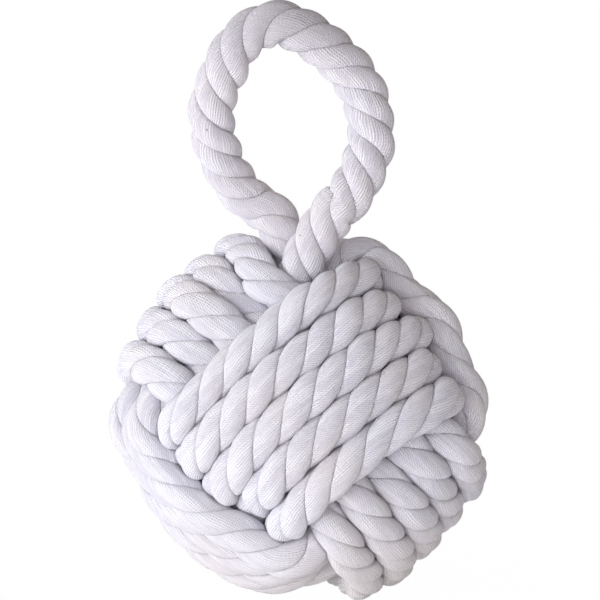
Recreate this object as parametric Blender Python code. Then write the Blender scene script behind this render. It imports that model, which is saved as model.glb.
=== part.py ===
"""Rope knot doorstop.

A ball knot of three-strand cotton rope, a monkey's fist, is tied round a bag of
sand. A loop of thicker rope stands on top as the handle. Its two legs go down
through the knot and are bound together inside.

All sizes are in metres. Z is up, the floor is at Z = 0, and the origin lies in
the middle of the object's footprint.
"""
import math

import bmesh
import bpy
import numpy as np
from mathutils import Matrix, Vector

# Knot rope
TURNS = 5                     # turns side by side in each of the three bands
ROPE_PITCH = 0.0148           # room that a turn takes beside its neighbour
ROPE_DIAMETER = 0.0134        # thickness of the rope where it is pressed on a crossing
CAVITY_RADIUS = 0.0435        # the hollow that the knot leaves round its weight
BALL_LIMIT = 0.0660           # rope centres beyond this are beaten in when the knot is rounded
DRAWN_OUT = 0.12              # the share by which the ball is longer than round, along its long axis
LONG_AXIS = (-0.57, 0.20, 0.80)
SETTLED_HEIGHT = 0.0720       # from the ball's centre down to the floor it has settled on
KNOT_TURN = (39.6, -27.4, -86.5)   # degrees about X, Y and Z, from the knot's axes to the object's
POINTS_PER_TURN = 24
SELF_GAP = 0.0006             # least room between the rope and itself in the finished knot

# Handle rope
HANDLE_DIAMETER = 0.0172
LEG_DIAMETER = 0.0125         # the legs are squeezed where they pass through the knot
LEG_GAP = 0.0008
LEG_SWELL = 0.0030            # the legs start to swell this far above their straight part
HANDLE_STEP = 0.0075

# Weight, bag and bindings
CLEARANCE = 0.0003            # between pieces that touch
BAG_WALL = 0.0010
BAG_NECK_RADIUS = 0.0046
BAG_NECK_LENGTH = 0.0030
BAG_MOUTH_RADIUS = 0.0075
BAG_SHOULDER = 0.0060         # how far the flat top and bottom round into the sides
TIE_DIAMETER = 0.0020
SEIZING_LENGTH = 0.0100
SEIZING_THICKNESS = 0.0016
SEIZING_FROM_END = 0.0020
WHIPPING_LENGTH = 0.0080
WHIPPED_SHARE = 0.86          # a whipped rope end is drawn in to this share of its diameter
WHIPPING_FROM_END = 0.0020
ROUND_SIDES = 32

# Settling the knot
BEAD = 0.0050                 # length of rope between the points that are settled
ROUNDS = 600
LOOSE_RUN = 5.5               # degrees between the first points of a loosely laid turn
PULL = 0.20                   # how hard the rope is drawn tight in each round
STIFFNESS = 0.30
NESTLING = 0.20               # how strongly turns side by side are drawn together
NESTLING_REACH = 0.0050
CUT_SHARE = 0.10              # share of the rope's diameter that the floor flattens

# The handle's centre line, from the end of the rear leg round to the end of the front leg
LEG_X = -0.0008
LEG_END_Z = 0.0950
HANDLE_ROUTE = (
    (-0.0112, -0.0020, 0.1506),
    (-0.0194, -0.0010, 0.1600),
    (-0.0275, -0.0010, 0.1716),
    (-0.0318, -0.0015, 0.1830),
    (-0.0333, -0.0025, 0.1940),
    (-0.0319, -0.0035, 0.2063),
    (-0.0276, -0.0045, 0.2178),
    (-0.0221, -0.0050, 0.2262),
    (-0.0148, -0.0055, 0.2308),
    (-0.0063, -0.0060, 0.2322),
    (0.0050, -0.0065, 0.2288),
    (0.0124, -0.0070, 0.2219),
    (0.0196, -0.0075, 0.2136),
    (0.0251, -0.0085, 0.2036),
    (0.0282, -0.0095, 0.1930),
    (0.0286, -0.0105, 0.1830),
    (0.0240, -0.0128, 0.1702),
    (0.0175, -0.0145, 0.1618),
    (0.0118, -0.0155, 0.1554),
)
REAR_LEG_Y = -0.0030


def unit(vector):
    """The vector at length one."""
    return vector / np.linalg.norm(vector)


def knot_axes():
    """The knot's own X, Y and Z, as the columns of a matrix in the object's axes."""
    matrix = Matrix.Identity(3)
    for angle, axis in zip(KNOT_TURN, "XYZ"):
        matrix = Matrix.Rotation(math.radians(angle), 3, axis) @ matrix
    return np.array(matrix)


def resample(path, step):
    """Points at an even step along a path."""
    lengths = np.linalg.norm(np.diff(path, axis=0), axis=1)
    along = np.concatenate([[0.0], np.cumsum(lengths)])
    count = int(round(along[-1] / step)) + 1
    wanted = np.linspace(0.0, along[-1], count)
    return np.column_stack([np.interp(wanted, along, path[:, k]) for k in range(3)])


def through_points(points, per_span):
    """A smooth curve through the points, with per_span steps between two of them."""
    points = np.array(points)
    ends = np.vstack([2 * points[0] - points[1], points, 2 * points[-1] - points[-2]])
    curve = []
    for k in range(1, len(ends) - 2):
        before, start, stop, after = ends[k - 1:k + 3]
        for t in np.arange(per_span) / per_span:
            curve.append(0.5 * (2 * start + (stop - before) * t
                                + (2 * before - 5 * start + 4 * stop - after) * t ** 2
                                + (3 * start - before - 3 * stop + after) * t ** 3))
    curve.append(points[-1])
    return np.array(curve)


def handle_path():
    """The handle's centre line and its diameter at each point.

    Both legs stand straight in the ball, one behind the other. They leave it
    together and part into the loop.
    """
    leg_spacing = LEG_DIAMETER + LEG_GAP
    rear = REAR_LEG_Y
    front = rear - leg_spacing
    inside = [LEG_END_Z, LEG_END_Z + 0.016, LEG_END_Z + 0.030, LEG_END_Z + 0.038]
    points = [(LEG_X, rear, z) for z in inside]
    points += list(HANDLE_ROUTE)
    points += [(LEG_X, front, z) for z in reversed(inside)]
    path = resample(through_points(points, 12), HANDLE_STEP)
    rise = np.clip((path[:, 2] - inside[-1] - LEG_SWELL) / (HANDLE_DIAMETER * 0.8), 0.0, 1.0)
    diameters = LEG_DIAMETER + (HANDLE_DIAMETER - LEG_DIAMETER) * rise
    return path, diameters


def weave(angle):
    """+1 where a band runs outside its neighbour, -1 where it runs under it."""
    sharpness = 2.2
    return math.tanh(sharpness * math.cos(2.0 * angle)) / math.tanh(sharpness)


def band_turns(start, stop, first, last, order):
    """One band's turns round the ball.

    start and stop are angles in degrees, first and last are the places of the
    first and the last turn along the band's width, and order says which of the
    knot's axes the band's own three are.
    """
    inner = CAVITY_RADIUS + 0.53 * ROPE_PITCH
    outer = inner + ROPE_PITCH
    count = int(abs(stop - start) / LOOSE_RUN)
    points = []
    for k in range(count + 1):
        share = k / count
        angle = math.radians(start + (stop - start) * share)
        across = first + (last - first) * share
        radius = 0.5 * (outer + inner) + 0.5 * (outer - inner) * weave(angle)
        flat = math.sqrt(max(radius ** 2 - across ** 2, (0.2 * radius) ** 2))
        own = (flat * math.cos(angle), flat * math.sin(angle), across)
        points.append([own[axis] for axis in order])
    return np.array(points)


def loose_knot():
    """The rope's route as it is first laid: three bands, each inside one and outside the other.

    The first band goes round the knot's Z axis, the second round X and the
    third round Y. Every full turn moves on by one pitch. The rope goes from
    one band to the next at a corner of the ball, where it would dive anyway.
    """
    half_width = 0.5 * (TURNS - 1) * ROPE_PITCH
    slip = ROPE_PITCH / 360.0
    full = 360.0 * TURNS
    corner = 52.0
    start = 88.0
    stop = corner + 76.0 - full
    first_band = band_turns(start, stop, -half_width - slip * start, -half_width - slip * stop, (0, 1, 2))
    stop = corner + full
    second_band = band_turns(corner, stop, -half_width + slip * (corner - 270.0),
                             -half_width + slip * (stop - 270.0), (2, 0, 1))
    stop = corner + 28.0 + full
    third_band = band_turns(corner, stop, half_width - slip * (corner - 270.0),
                            half_width - slip * (stop - 270.0), (1, 2, 0))
    return resample(np.vstack([first_band, second_band, third_band]), BEAD)


def tangents(path):
    """The rope's direction at each point."""
    step = np.gradient(path, axis=0)
    return step / np.linalg.norm(step, axis=1)[:, None]


def pairs_near(path, reach, apart):
    """Pairs of points closer than reach and more than apart points along the rope."""
    squared = ((path[:, None, :] - path[None, :, :]) ** 2).sum(-1)
    first, second = np.nonzero(squared < reach ** 2)
    keep = second - first > apart
    return first[keep], second[keep]


def halfway(path):
    """How far each point lies from the middle of its two neighbours."""
    bend = np.zeros_like(path)
    bend[1:-1] = 0.5 * (path[:-2] + path[2:]) - path[1:-1]
    return bend


def shared(count, places, moves):
    """The mean of the moves that each point is given."""
    total = np.zeros((count, 3))
    number = np.zeros(count)
    for place, move in zip(places, moves):
        np.add.at(total, place, move)
        np.add.at(number, place, 1)
    return total / np.maximum(number, 1)[:, None]


def reach(path, long_axis):
    """How far each point lies from the middle, with the drawing out along the long axis taken back."""
    beyond = DRAWN_OUT / (1.0 + DRAWN_OUT) * (path @ long_axis)
    return np.linalg.norm(path - beyond[:, None] * long_axis, axis=1)


def settle(path, up, legs, long_axis):
    """Draws the loosely laid rope tight round its hollow, as the knot is worked up.

    In each round the rope is pulled, and then every two runs that are closer
    than the rope is thick push each other off, square to the rope. Runs side
    by side in one layer nestle together. The handle's legs are let in thin and
    grow to their size, so the rope stays on the side of them that it passes.
    """
    count = len(path)
    apart = int(math.ceil(1.6 * ROPE_PITCH / BEAD))
    leg_points = 0.5 * (legs[0] + legs[1])
    leg_room = 0.5 * (ROPE_DIAMETER + legs[2])
    for turn in range(ROUNDS):
        if turn % 10 == 0:
            one, other = pairs_near(path, ROPE_PITCH + 0.006, apart)
            along = tangents(path)
            likeness = np.abs((along[one] * along[other]).sum(1))
            blend = np.clip((likeness - 0.6) / 0.3, 0.0, 1.0)
            blend = blend * blend * (3.0 - 2.0 * blend)
            wanted = ROPE_DIAMETER + (ROPE_PITCH - ROPE_DIAMETER) * blend
            heights = np.linalg.norm(path, axis=1)
            beside = (likeness > 0.92) & (np.abs(heights[one] - heights[other]) < NESTLING_REACH)
            gaps = np.linalg.norm(path[:, None, :] - leg_points[None, :, :], axis=2)
            by_leg, leg = np.nonzero(gaps < leg_room[None, :] + 0.006)
            room = leg_room[leg] * min(1.0, 0.2 + 2.0 * turn / ROUNDS)
        progress = turn / ROUNDS
        pull = PULL * (1.0 if progress < 0.6 else 0.4 if progress < 0.8 else 0.1 if progress < 0.95 else 0.0)
        stiff = STIFFNESS if progress < 0.95 else 0.05
        nestle = NESTLING if progress < 0.9 else 0.0
        beat = 0.12 if progress < 0.92 else 0.0
        path = path + pull * halfway(path)
        path = path - stiff * halfway(halfway(path))
        along = tangents(path)
        for _ in range(4):
            between = path[one] - path[other]
            distance = np.linalg.norm(between, axis=1)
            excess = wanted - distance
            weight = np.where(excess > 0.0, 1.0,
                              np.where(beside & (distance < ROPE_PITCH + NESTLING_REACH), nestle, 0.0))
            used = weight > 0.0
            push = between[used] / distance[used, None] * (0.5 * excess * weight)[used, None]
            move = shared(count, (one[used], other[used]), (push, -push))
            move -= (move * along).sum(1)[:, None] * along
            path = path + 1.3 * move
            between = path[by_leg] - leg_points[leg]
            distance = np.linalg.norm(between, axis=1)
            used = distance < room
            push = between[used] / distance[used, None] * (room - distance)[used, None]
            path = path + shared(count, (by_leg[used],), (push,))
            height = reach(path, long_axis)
            least = CAVITY_RADIUS + 0.5 * ROPE_DIAMETER
            path = path * np.maximum(1.0, least / height)[:, None]
            height = reach(path, long_axis)
            path = path * (1.0 - beat * np.clip(height - BALL_LIMIT, 0.0, None) / height)[:, None]
            sunk = 0.5 * ROPE_PITCH - SETTLED_HEIGHT - path @ up
            path = path + np.clip(sunk, 0.0, None)[:, None] * up
    return path


def thin_out(path, count):
    """The given number of points of a path, closer together where it bends."""
    fine = resample(path, 0.5 * BEAD)
    bend = np.linalg.norm(halfway(fine), axis=1)
    for _ in range(6):
        bend[1:-1] = (bend[:-2] + bend[1:-1] + bend[2:]) / 3.0
    weight = 1.0 + 2.2 * np.minimum(bend / np.percentile(bend, 90), 1.5)
    along = np.concatenate([[0.0], np.cumsum(0.5 * (weight[1:] + weight[:-1]))])
    wanted = np.linspace(0.0, along[-1], count)
    return np.column_stack([np.interp(wanted, along, fine[:, k]) for k in range(3)])


def nearest_on_runs(start_a, stop_a, start_b, stop_b):
    """Where two straight runs come closest, as a share of each run, and the line between."""
    run_a = stop_a - start_a
    run_b = stop_b - start_b
    offset = start_a - start_b
    aa = (run_a ** 2).sum(1)
    bb = (run_b ** 2).sum(1)
    ab = (run_a * run_b).sum(1)
    ao = (run_a * offset).sum(1)
    bo = (run_b * offset).sum(1)
    spread = np.maximum(aa * bb - ab ** 2, 1e-4 * aa * bb)
    share_a = np.clip((ab * bo - ao * bb) / spread, 0.0, 1.0)
    share_b = np.clip((ab * share_a + bo) / bb, 0.0, 1.0)
    share_a = np.clip((ab * share_b - ao) / aa, 0.0, 1.0)
    between = offset + share_a[:, None] * run_a - share_b[:, None] * run_b
    return share_a, share_b, between


def run_pairs(path):
    """Pairs of straight runs that lie near each other but not next to each other."""
    middle = 0.5 * (path[1:] + path[:-1])
    lengths = np.linalg.norm(np.diff(path, axis=0), axis=1)
    along = np.cumsum(lengths) - 0.5 * lengths
    distance = np.linalg.norm(middle[:, None, :] - middle[None, :, :], axis=2)
    reach = ROPE_PITCH + lengths.max() + 0.004
    first, second = np.nonzero(distance < reach)
    keep = (second > first + 2) & (along[second] - along[first] > 2.2 * ROPE_PITCH)
    return first[keep], second[keep]


def leg_core(path, diameters):
    """The handle with the seam between its two legs, as runs that the knot rope keeps clear of.

    The rope may pass on any side of the pair of legs but not between them.
    """
    count = int(np.argmax(diameters > 1.02 * LEG_DIAMETER)) + 1
    seam = 0.5 * (path[:count] + path[::-1][:count])
    starts = np.vstack([path[:-1], seam[:-1]])
    stops = np.vstack([path[1:], seam[1:]])
    widths = np.concatenate([np.maximum(diameters[:-1], diameters[1:]), diameters[1:count]])
    return starts, stops, widths


def ease_apart(path, up, legs):
    """Moves the straight runs of the thinned route off each other, the legs, the weight and the floor."""
    wanted = ROPE_DIAMETER + SELF_GAP + 0.0002
    count = len(path)
    one, other = run_pairs(path)
    starts, stops, widths = legs
    room = 0.5 * (ROPE_DIAMETER + widths) + 2.0 * CLEARANCE
    middles = 0.5 * (starts + stops)
    least = CAVITY_RADIUS + 0.5 * ROPE_DIAMETER
    floor = 0.5 * ROPE_PITCH - SETTLED_HEIGHT
    for _ in range(240):
        share, share_other, between = nearest_on_runs(path[one], path[one + 1], path[other], path[other + 1])
        distance = np.linalg.norm(between, axis=1)
        close = distance < wanted
        weights = [1.0 - share, share, share_other - 1.0, -share_other]
        strength = (wanted - distance) / sum(w ** 2 for w in weights)
        push = between / distance[:, None] * strength[:, None]
        places = [one[close], one[close] + 1, other[close], other[close] + 1]
        moves = [(push * w[:, None])[close] for w in weights]
        path = path + shared(count, places, moves)

        runs = path[1:] - path[:-1]
        share = np.clip(-(path[:-1] * runs).sum(1) / (runs ** 2).sum(1), 0.0, 1.0)
        nearest = path[:-1] + share[:, None] * runs
        height = np.linalg.norm(nearest, axis=1)
        low = np.nonzero(height < least)[0]
        push = nearest[low] * (least / height[low] - 1.0)[:, None]
        path = path + shared(count, [low, low + 1], [push, push])
        path = path + np.clip(floor - path @ up, 0.0, None)[:, None] * up

        gaps = np.linalg.norm(0.5 * (path[1:] + path[:-1])[:, None, :] - middles[None, :, :], axis=2)
        run, leg = np.nonzero(gaps < HANDLE_DIAMETER + ROPE_PITCH)
        share, _, between = nearest_on_runs(path[run], path[run + 1], starts[leg], stops[leg])
        distance = np.linalg.norm(between, axis=1)
        close = distance < room[leg]
        strength = (room[leg] - distance) / (share ** 2 + (1.0 - share) ** 2)
        push = (between / distance[:, None] * strength[:, None])[close]
        path = path + shared(count, [run[close], run[close] + 1],
                             [push * (1.0 - share)[close, None], push * share[close, None]])
    return path


def least_gap(path, diameter):
    """The least gap between the rope and itself, measured on the points of its centre line."""
    one, other = run_pairs(path)
    between = nearest_on_runs(path[one], path[one + 1], path[other], path[other + 1])[2]
    return np.linalg.norm(between, axis=1).min() - diameter


def inner_room(path, diameter):
    """The radius of the largest ball that fits inside the knot."""
    ends = path[1:] - path[:-1]
    share = np.clip(-(path[:-1] * ends).sum(1) / (ends ** 2).sum(1), 0.0, 1.0)
    nearest = path[:-1] + share[:, None] * ends
    return np.linalg.norm(nearest, axis=1).min() - 0.5 * diameter


def material(name, colour, roughness):
    """A plain material of one colour."""
    made = bpy.data.materials.new(name)
    made.use_nodes = True
    shader = made.node_tree.nodes["Principled BSDF"]
    shader.inputs["Base Color"].default_value = (*colour, 1.0)
    shader.inputs["Roughness"].default_value = roughness
    shader.inputs["Metallic"].default_value = 0.0
    return made


def add_object(name, data, finish):
    """Puts a mesh or a curve into the scene under its name."""
    made = bpy.data.objects.new(name, data)
    bpy.context.scene.collection.objects.link(made)
    data.materials.append(finish)
    return made


def rope_curve(name, path, radius, shares, resolution):
    """A closed tube of rope along straight runs between the points."""
    curve = bpy.data.curves.new(name, "CURVE")
    curve.dimensions = "3D"
    curve.bevel_depth = radius
    curve.bevel_resolution = resolution
    curve.use_fill_caps = True
    spline = curve.splines.new("POLY")
    spline.points.add(len(path) - 1)
    for point, place, share in zip(spline.points, path, shares):
        point.co = (*place, 1.0)
        point.radius = share
    return curve


def mesh_of_curve(name, curve):
    """The curve's tube as a mesh with its caps joined on."""
    holder = bpy.data.objects.new(name + "_curve", curve)
    bpy.context.scene.collection.objects.link(holder)
    bpy.context.view_layer.update()
    mesh = bpy.data.meshes.new_from_object(holder.evaluated_get(bpy.context.evaluated_depsgraph_get()))
    bpy.data.objects.remove(holder)
    work = bmesh.new()
    work.from_mesh(mesh)
    bmesh.ops.remove_doubles(work, verts=work.verts, dist=1e-6)
    bmesh.ops.recalc_face_normals(work, faces=work.faces)
    work.to_mesh(mesh)
    work.free()
    mesh.name = name
    mesh.materials.clear()
    mesh.shade_smooth()
    return mesh


def revolved(name, profile, sides):
    """A body turned round Z from a profile of radius and height that starts and ends on the axis."""
    work = bmesh.new()
    verts = [work.verts.new((radius, 0.0, height)) for radius, height in profile]
    edges = [work.edges.new(pair) for pair in zip(verts, verts[1:])]
    bmesh.ops.spin(work, geom=verts + edges, cent=(0, 0, 0), axis=(0, 0, 1), angle=math.tau,
                   steps=sides, use_merge=True)
    bmesh.ops.remove_doubles(work, verts=work.verts, dist=1e-6)
    bmesh.ops.recalc_face_normals(work, faces=work.faces)
    mesh = bpy.data.meshes.new(name)
    work.to_mesh(mesh)
    work.free()
    mesh.shade_smooth()
    return mesh


def sleeve(name, outline, wall, length):
    """A sleeve of even wall round an outline, standing on Z = 0; the outline runs anticlockwise."""
    work = bmesh.new()
    count = len(outline)
    rings = []
    for height in (0.0, length):
        for grow in (0.0, wall):
            ring = [work.verts.new((*(point + normal * grow), height)) for point, normal in outline]
            rings.append(ring)
    low_in, low_out, high_in, high_out = rings
    for a, b in ((low_out, high_out), (high_out, high_in), (high_in, low_in), (low_in, low_out)):
        for k in range(count):
            nxt = (k + 1) % count
            work.faces.new((a[k], a[nxt], b[nxt], b[k]))
    bmesh.ops.recalc_face_normals(work, faces=work.faces)
    mesh = bpy.data.meshes.new(name)
    work.to_mesh(mesh)
    work.free()
    return mesh


def stadium(radius, spacing, sides):
    """An outline round two equal circles along Y, as points with their outward normals."""
    outline = []
    for k in range(sides):
        angle = math.tau * k / sides
        normal = np.array([math.cos(angle), math.sin(angle)])
        shift = 0.5 * spacing * (1.0 if math.sin(angle) > 1e-9 else -1.0 if math.sin(angle) < -1e-9 else 0.0)
        outline.append((normal * radius + np.array([0.0, shift]), normal))
    return outline


def place_along(made, foot, direction):
    """Stands an object made on Z on a foot point, with its Z along a direction."""
    turn = Vector(direction).to_track_quat("Z", "Y").to_matrix().to_4x4()
    made.matrix_world = Matrix.Translation(Vector(foot)) @ turn


def bag_profile(radius, top, offset):
    """The bag's side in radius and height, drawn in by an offset, from the axis down to its neck."""
    size = radius - offset
    high = top - offset
    low = -(radius - BAG_SHOULDER - BAG_NECK_LENGTH) + offset
    upper = math.acos((high - 0.6 * BAG_SHOULDER) / size)
    lower = math.acos((low + 0.6 * BAG_SHOULDER) / size)
    profile = [(0.0, high), (math.sqrt(size ** 2 - high ** 2) - BAG_SHOULDER, high)]
    steps = 12
    for k in range(steps + 1):
        angle = upper + (lower - upper) * k / steps
        profile.append((size * math.sin(angle), size * math.cos(angle)))
    profile.append((BAG_NECK_RADIUS + BAG_SHOULDER, low))
    return profile, low


def build_knot(path, finish):
    """The knot: one rope, one unbroken tube, flattened where it stands on the floor."""
    shares = np.ones(len(path))
    shares[[0, 1, -2, -1]] = WHIPPED_SHARE
    curve = rope_curve("knot_rope", path, 0.5 * ROPE_DIAMETER, shares, 1)
    knot = add_object("knot_rope", mesh_of_curve("knot_rope", curve), finish)
    size = 4.0 * SETTLED_HEIGHT
    floor_mesh = bpy.data.meshes.new("floor_cutter")
    work = bmesh.new()
    bmesh.ops.create_cube(work, size=size, matrix=Matrix.Translation((0.0, 0.0, -0.5 * size)))
    work.to_mesh(floor_mesh)
    work.free()
    floor = bpy.data.objects.new("floor_cutter", floor_mesh)
    bpy.context.scene.collection.objects.link(floor)
    floor.hide_render = True
    floor.display_type = "WIRE"
    cut = knot.modifiers.new("stands_flat", "BOOLEAN")
    cut.operation = "DIFFERENCE"
    cut.solver = "EXACT"
    cut.object = floor
    return knot


def build_whipping(name, end, inner, finish):
    """The binding on one end of the knot rope; end is the rope's tip and inner its last bend."""
    direction = unit(inner - end)
    radius = 0.5 * ROPE_DIAMETER * WHIPPED_SHARE + CLEARANCE
    sides = 16
    bore = radius / math.cos(math.pi / sides)
    wall = 0.5 * ROPE_DIAMETER - bore
    mesh = sleeve(name, stadium(bore, 0.0, sides), wall, WHIPPING_LENGTH)
    made = add_object(name, mesh, finish)
    place_along(made, end + direction * WHIPPING_FROM_END, direction)
    return made


def build_handle(path, diameters, finish):
    """The handle: one thicker rope, bent to a loop, with both legs down in the ball."""
    shares = diameters / HANDLE_DIAMETER
    curve = rope_curve("handle_rope", path, 0.5 * HANDLE_DIAMETER, shares, 4)
    return add_object("handle_rope", mesh_of_curve("handle_rope", curve), finish)


def build_seizing(finish):
    """The binding that holds the handle's two legs together inside the ball."""
    sides = 32
    spacing = LEG_DIAMETER + LEG_GAP
    bore = (0.5 * LEG_DIAMETER + CLEARANCE) / math.cos(math.pi / sides)
    mesh = sleeve("handle_seizing", stadium(bore, spacing, sides), SEIZING_THICKNESS, SEIZING_LENGTH)
    made = add_object("handle_seizing", mesh, finish)
    made.location = (LEG_X, REAR_LEG_Y - 0.5 * spacing, LEG_END_Z + SEIZING_FROM_END)
    return made


def build_weight(room, centre, cloth, twine, sand):
    """The bag of sand in the hollow: the cloth bag, its tie, and the sand."""
    radius = room - CLEARANCE
    top = LEG_END_Z - centre[2] - CLEARANCE
    outside, low = bag_profile(radius, top, 0.0)
    inside, low_inside = bag_profile(radius, top, BAG_WALL)
    neck_low = low - BAG_NECK_LENGTH
    mouth = neck_low - 0.5 * (BAG_MOUTH_RADIUS - BAG_NECK_RADIUS)
    outside += [(BAG_NECK_RADIUS, low - 0.0004), (BAG_NECK_RADIUS, neck_low), (BAG_MOUTH_RADIUS, mouth)]
    bore = BAG_NECK_RADIUS - BAG_WALL
    inside += [(bore, low_inside - 0.0004), (bore, neck_low), (BAG_MOUTH_RADIUS - BAG_WALL, mouth)]
    bag = add_object("sand_bag", revolved("sand_bag", outside + inside[::-1], ROUND_SIDES), cloth)
    bag.location = centre

    tie_mesh = bpy.data.meshes.new("bag_tie")
    work = bmesh.new()
    ring = 0.5 * TIE_DIAMETER
    middle = BAG_NECK_RADIUS + CLEARANCE + ring
    circle = bmesh.ops.create_circle(work, segments=8, radius=ring,
                                     matrix=Matrix.Translation((middle, 0, 0)) @ Matrix.Rotation(math.pi / 2, 4, "X"))
    edges = list({edge for vert in circle["verts"] for edge in vert.link_edges})
    bmesh.ops.spin(work, geom=circle["verts"] + edges, cent=(0, 0, 0), axis=(0, 0, 1), angle=math.tau,
                   steps=ROUND_SIDES, use_merge=True)
    bmesh.ops.remove_doubles(work, verts=work.verts, dist=1e-6)
    bmesh.ops.recalc_face_normals(work, faces=work.faces)
    work.to_mesh(tie_mesh)
    work.free()
    tie_mesh.shade_smooth()
    tie = add_object("bag_tie", tie_mesh, twine)
    tie.location = (0.0, 0.0, centre[2] + low - 0.0004 - CLEARANCE - ring)

    filled, low_sand = bag_profile(radius, top, BAG_WALL + CLEARANCE)
    filled.append((0.0, low_sand))
    fill = add_object("sand_fill", revolved("sand_fill", filled, ROUND_SIDES), sand)
    fill.location = centre
    return bag, tie, fill


def build():
    """The whole doorstop."""
    for old in list(bpy.data.objects):
        bpy.data.objects.remove(old)
    cotton = material("cotton_rope", (0.80, 0.79, 0.83), 0.9)
    twine = material("cotton_twine", (0.72, 0.68, 0.60), 0.85)
    calico = material("calico_bag", (0.70, 0.64, 0.52), 0.9)
    sand = material("dry_sand", (0.55, 0.42, 0.26), 0.95)

    lowest = SETTLED_HEIGHT - 0.5 * ROPE_PITCH
    centre = np.array([0.0, 0.0, lowest + (0.5 - CUT_SHARE) * ROPE_DIAMETER])
    axes = knot_axes()
    handle, handle_diameters = handle_path()
    legs = leg_core((handle - centre) @ axes, handle_diameters)
    up = axes.T @ np.array([0.0, 0.0, 1.0])
    long_axis = axes.T @ unit(np.array(LONG_AXIS))

    loose = loose_knot()
    loose = loose + DRAWN_OUT * (loose @ long_axis)[:, None] * long_axis
    settled = settle(loose, up, legs, long_axis)
    route = thin_out(settled, 3 * TURNS * POINTS_PER_TURN)
    route = ease_apart(route, up, legs)
    length = np.linalg.norm(np.diff(route, axis=0), axis=1).sum()
    room = inner_room(route, ROPE_DIAMETER)
    print("knot rope: %.0f mm of rope, %d points" % (1000 * length, len(route)))
    print("knot rope: least gap to itself %.2f mm" % (1000 * least_gap(route, ROPE_DIAMETER)))
    print("knot rope: room inside %.2f mm, lowest %.2f mm" % (1000 * room, 1000 * ((route @ up).min() + centre[2])))
    in_place = route @ axes.T + centre
    middle = 0.5 * (in_place.min(axis=0) + in_place.max(axis=0))
    doorstop = bpy.data.objects.new("doorstop", None)
    bpy.context.scene.collection.objects.link(doorstop)
    doorstop.location = (-middle[0], -middle[1], 0.0)
    build_knot(in_place, cotton)
    build_whipping("rope_start_whipping", in_place[0], in_place[1], twine)
    build_whipping("rope_finish_whipping", in_place[-1], in_place[-2], twine)
    build_handle(handle, handle_diameters, cotton)
    build_seizing(twine)
    build_weight(room, centre, calico, twine, sand)
    for piece in bpy.data.objects:
        if piece.type == "MESH" and not piece.hide_render:
            piece.parent = doorstop


build()
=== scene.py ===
"""Rope knot doorstop: its laid cotton rope, bindings and weight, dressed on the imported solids.

The ball is a monkey's fist knot. Its rope is laid loosely round the hollow in
three bands and then drawn tight in the script, so the turns press on each
other as real rope does. Every rope is three strands laid up left-handed.
"""
from __future__ import annotations

import logging
import math
from dataclasses import dataclass, field
from enum import Enum
from functools import partial

import bmesh
import bpy
import numpy as np
from bpy.types import Material, Mesh, Node, NodeSocket, NodeTree, Object
from mathutils import Matrix, Vector, noise


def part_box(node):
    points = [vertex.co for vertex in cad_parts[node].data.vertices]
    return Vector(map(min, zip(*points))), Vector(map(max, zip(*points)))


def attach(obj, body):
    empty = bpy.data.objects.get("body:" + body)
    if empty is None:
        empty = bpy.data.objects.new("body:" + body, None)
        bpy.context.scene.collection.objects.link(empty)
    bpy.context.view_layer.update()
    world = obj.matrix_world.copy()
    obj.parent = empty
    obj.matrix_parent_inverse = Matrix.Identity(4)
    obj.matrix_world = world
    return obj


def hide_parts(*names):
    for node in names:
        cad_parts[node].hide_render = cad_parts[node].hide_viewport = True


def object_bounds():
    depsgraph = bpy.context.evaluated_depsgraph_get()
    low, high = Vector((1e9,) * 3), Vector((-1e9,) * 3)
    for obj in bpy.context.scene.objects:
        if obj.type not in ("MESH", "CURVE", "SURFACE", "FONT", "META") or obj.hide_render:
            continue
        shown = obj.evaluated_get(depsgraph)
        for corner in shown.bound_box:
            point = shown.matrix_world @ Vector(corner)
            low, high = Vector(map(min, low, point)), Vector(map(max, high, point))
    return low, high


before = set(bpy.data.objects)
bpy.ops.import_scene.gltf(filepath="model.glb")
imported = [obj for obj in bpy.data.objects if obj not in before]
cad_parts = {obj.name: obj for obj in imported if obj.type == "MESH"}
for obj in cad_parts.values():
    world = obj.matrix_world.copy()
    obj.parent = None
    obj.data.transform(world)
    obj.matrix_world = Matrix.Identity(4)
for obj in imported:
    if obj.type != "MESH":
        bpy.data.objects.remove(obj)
SOLIDS_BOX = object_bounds()
LOG = logging.getLogger("doorstop")
MM = 0.001
WAVE_BAND = 0.314  # a wave texture of scale one has its bands this far apart
Array = np.ndarray


# Numbers along a line

def unit(vector: Array) -> Array:
    """The vector at length one."""
    return vector / np.linalg.norm(vector)


def lengths_along(path: Array) -> Array:
    """Distance from the start of a path to each of its points."""
    return np.concatenate([[0.0], np.cumsum(np.linalg.norm(np.diff(path, axis=0), axis=1))])


def resample(path: Array, step: float) -> Array:
    """Points at an even step along a path.

    Args:
        path: points in order.
        step: distance between the new points, in metres.

    Returns:
        The new points.
    """
    along = lengths_along(path)
    wanted = np.linspace(0.0, along[-1], int(round(along[-1] / step)) + 1)
    return np.column_stack([np.interp(wanted, along, path[:, k]) for k in range(3)])


def through_points(points: Array, per_span: int) -> Array:
    """A smooth curve through the points.

    Args:
        points: the points that the curve passes.
        per_span: steps between two of them.

    Returns:
        The curve's points.
    """
    ends = np.vstack([2 * points[0] - points[1], points, 2 * points[-1] - points[-2]])
    before, start, stop, after = ends[:-3], ends[1:-2], ends[2:-1], ends[3:]
    spans = []
    for t in np.arange(per_span) / per_span:
        spans.append(0.5 * (2 * start + (stop - before) * t
                            + (2 * before - 5 * start + 4 * stop - after) * t ** 2
                            + (3 * start - before - 3 * stop + after) * t ** 3))
    curve = np.stack(spans, axis=1).reshape(-1, 3)
    return np.vstack([curve, points[-1]])


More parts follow.
